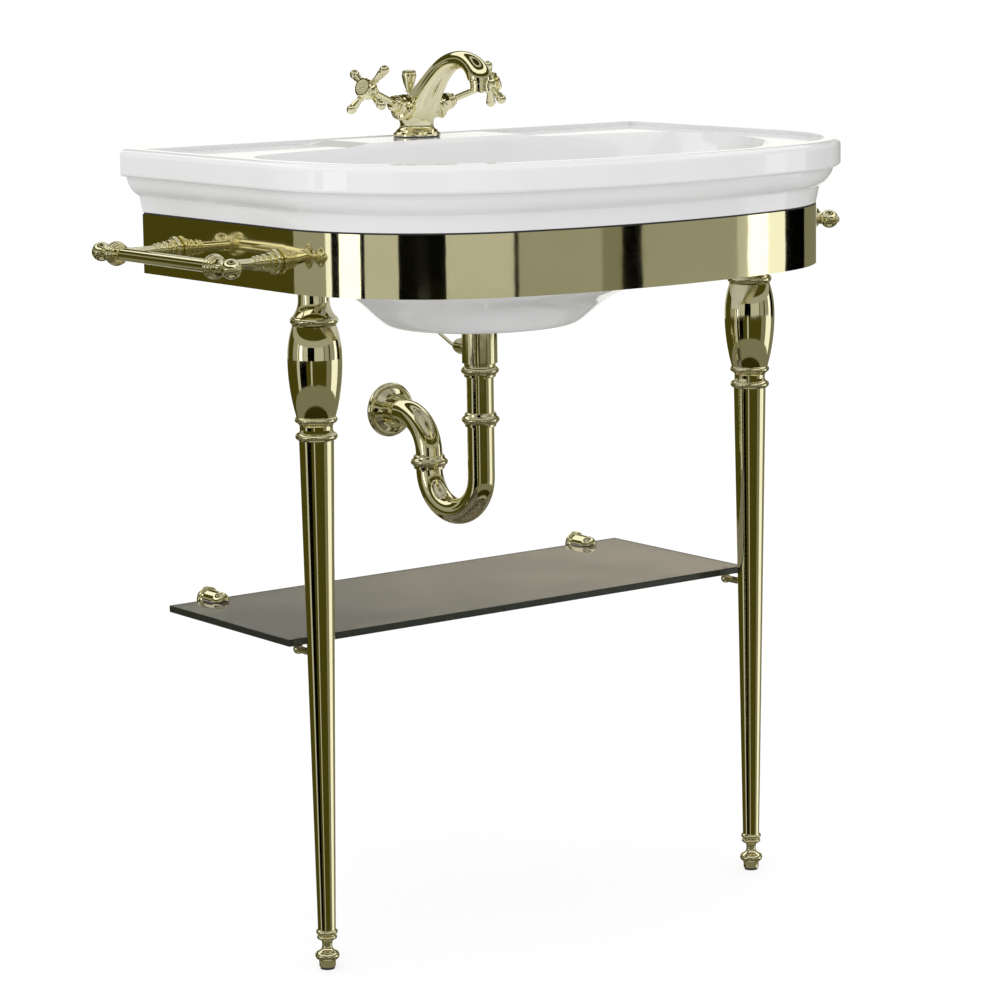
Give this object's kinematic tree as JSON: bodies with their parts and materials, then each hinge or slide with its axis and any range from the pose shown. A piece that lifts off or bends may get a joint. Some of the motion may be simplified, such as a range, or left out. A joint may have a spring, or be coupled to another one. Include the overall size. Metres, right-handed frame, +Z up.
{
  "type": "console sink",
  "caption": "Console washbasin on a polished brass apron with turned front legs, towel rails, glass shelf, cross-handle mixer tap, pop-up waste and swivel trap.",
  "frame": {"origin": "centre of the part's box at floor level; the wall plane is 255 mm behind it, at Y = +0.255", "axes": "+X to the user's right, -Y towards the user, +Y into the wall, +Z up"},
  "size_m": [0.88, 0.59, 1.0022],
  "materials": {
    "glazed_fireclay": "white vitreous glaze, glossy",
    "polished_brass": "mirror polished pale gold plate",
    "bronze_glass": "bronze tinted, ground edges",
    "grey_rubber": "moulded, matt",
    "clear_rubber": "translucent silicone",
    "zinc_steel": "zinc plated",
    "copper_tube": "drawn copper, dull",
    "dark_plastic": "moulded",
    "index_enamel": "plain polished disc"
  },
  "bodies": {
    "console": {"basin": "glazed_fireclay", "apron": "polished_brass", "apron_ledge": "polished_brass", "basin_gasket": "grey_rubber", "shelf_glass": "bronze_glass", "shelf_pins": "polished_brass", "shelf_cushions": "clear_rubber", "shelf_brackets": "polished_brass", "shelf_rosettes": "polished_brass", "wall_studs": "zinc_steel", "wall_nuts": "zinc_steel", "leg_vase_left": "polished_brass", "leg_vase_right": "polished_brass", "leg_shaft_left": "polished_brass", "leg_shaft_right": "polished_brass", "leg_plates": "polished_brass", "leg_feet": "polished_brass", "foot_pads": "grey_rubber", "leg_studs": "zinc_steel", "leg_top_nuts": "zinc_steel", "rail_posts": "polished_brass", "rail_knuckles": "polished_brass", "rail_bars": "polished_brass", "rail_finials": "polished_brass", "rail_screws": "zinc_steel", "tap_body": "polished_brass", "tap_base_seal": "grey_rubber", "aerator_collar": "polished_brass", "aerator_insert": "dark_plastic", "tap_stud": "zinc_steel", "tap_fixing": "zinc_steel", "inlet_tails": "copper_tube", "hot_bonnet": "polished_brass", "cold_bonnet": "polished_brass", "drain_flange": "polished_brass", "waste_body": "polished_brass", "waste_seals": "grey_rubber", "waste_locknut": "polished_brass", "pivot_nut": "polished_brass", "slip_nut_top": "polished_brass", "slip_nut_middle": "polished_brass", "slip_nut_low": "polished_brass", "trap_washers": "grey_rubber", "tail_tube": "polished_brass", "u_bend": "polished_brass", "outlet_bend": "polished_brass", "escutcheon": "polished_brass"},
    "hot_valve": {"hot_spindle": "polished_brass", "hot_handle": "polished_brass", "hot_index": "index_enamel"},
    "cold_valve": {"cold_spindle": "polished_brass", "cold_handle": "polished_brass", "cold_index": "index_enamel"},
    "lift_linkage": {"lift_rod": "polished_brass", "lift_knob": "polished_brass", "lift_strap": "polished_brass", "strap_clip": "polished_brass"},
    "ball_lever": {"pivot_lever": "polished_brass"},
    "plug": {"waste_plug": "polished_brass", "plug_ring": "grey_rubber"}
  },
  "joints": [
    {"name": "hot_handle_turn", "type": "hinge", "parent": "console", "child": "hot_valve", "pos_m": [0, 0.2, 0.925], "axis": [-0.8986, -0.2747, 0.342], "range_deg": [0, 90]},
    {"name": "cold_handle_turn", "type": "hinge", "parent": "console", "child": "cold_valve", "pos_m": [0, 0.2, 0.925], "axis": [0.8986, -0.2747, 0.342], "range_deg": [-90, 0]},
    {"name": "lift_rod_slide", "type": "slide", "parent": "console", "child": "lift_linkage", "axis": [0, 0, 1], "range_m": [0, 0.0315]},
    {"name": "pivot_lever_swing", "type": "hinge", "parent": "console", "child": "ball_lever", "pos_m": [0, 0.117, 0.656], "axis": [1, 0, 0], "range_deg": [0, 12.76]},
    {"name": "plug_slide", "type": "slide", "parent": "console", "child": "plug", "axis": [0, 0, 1], "range_m": [-0.008, 0]}
  ],
  "couplings": [
    {"joint": "pivot_lever_swing", "follows": "lift_rod_slide", "rad_per_m": 7.0688},
    {"joint": "plug_slide", "follows": "lift_rod_slide", "ratio": -0.25396}
  ]
}
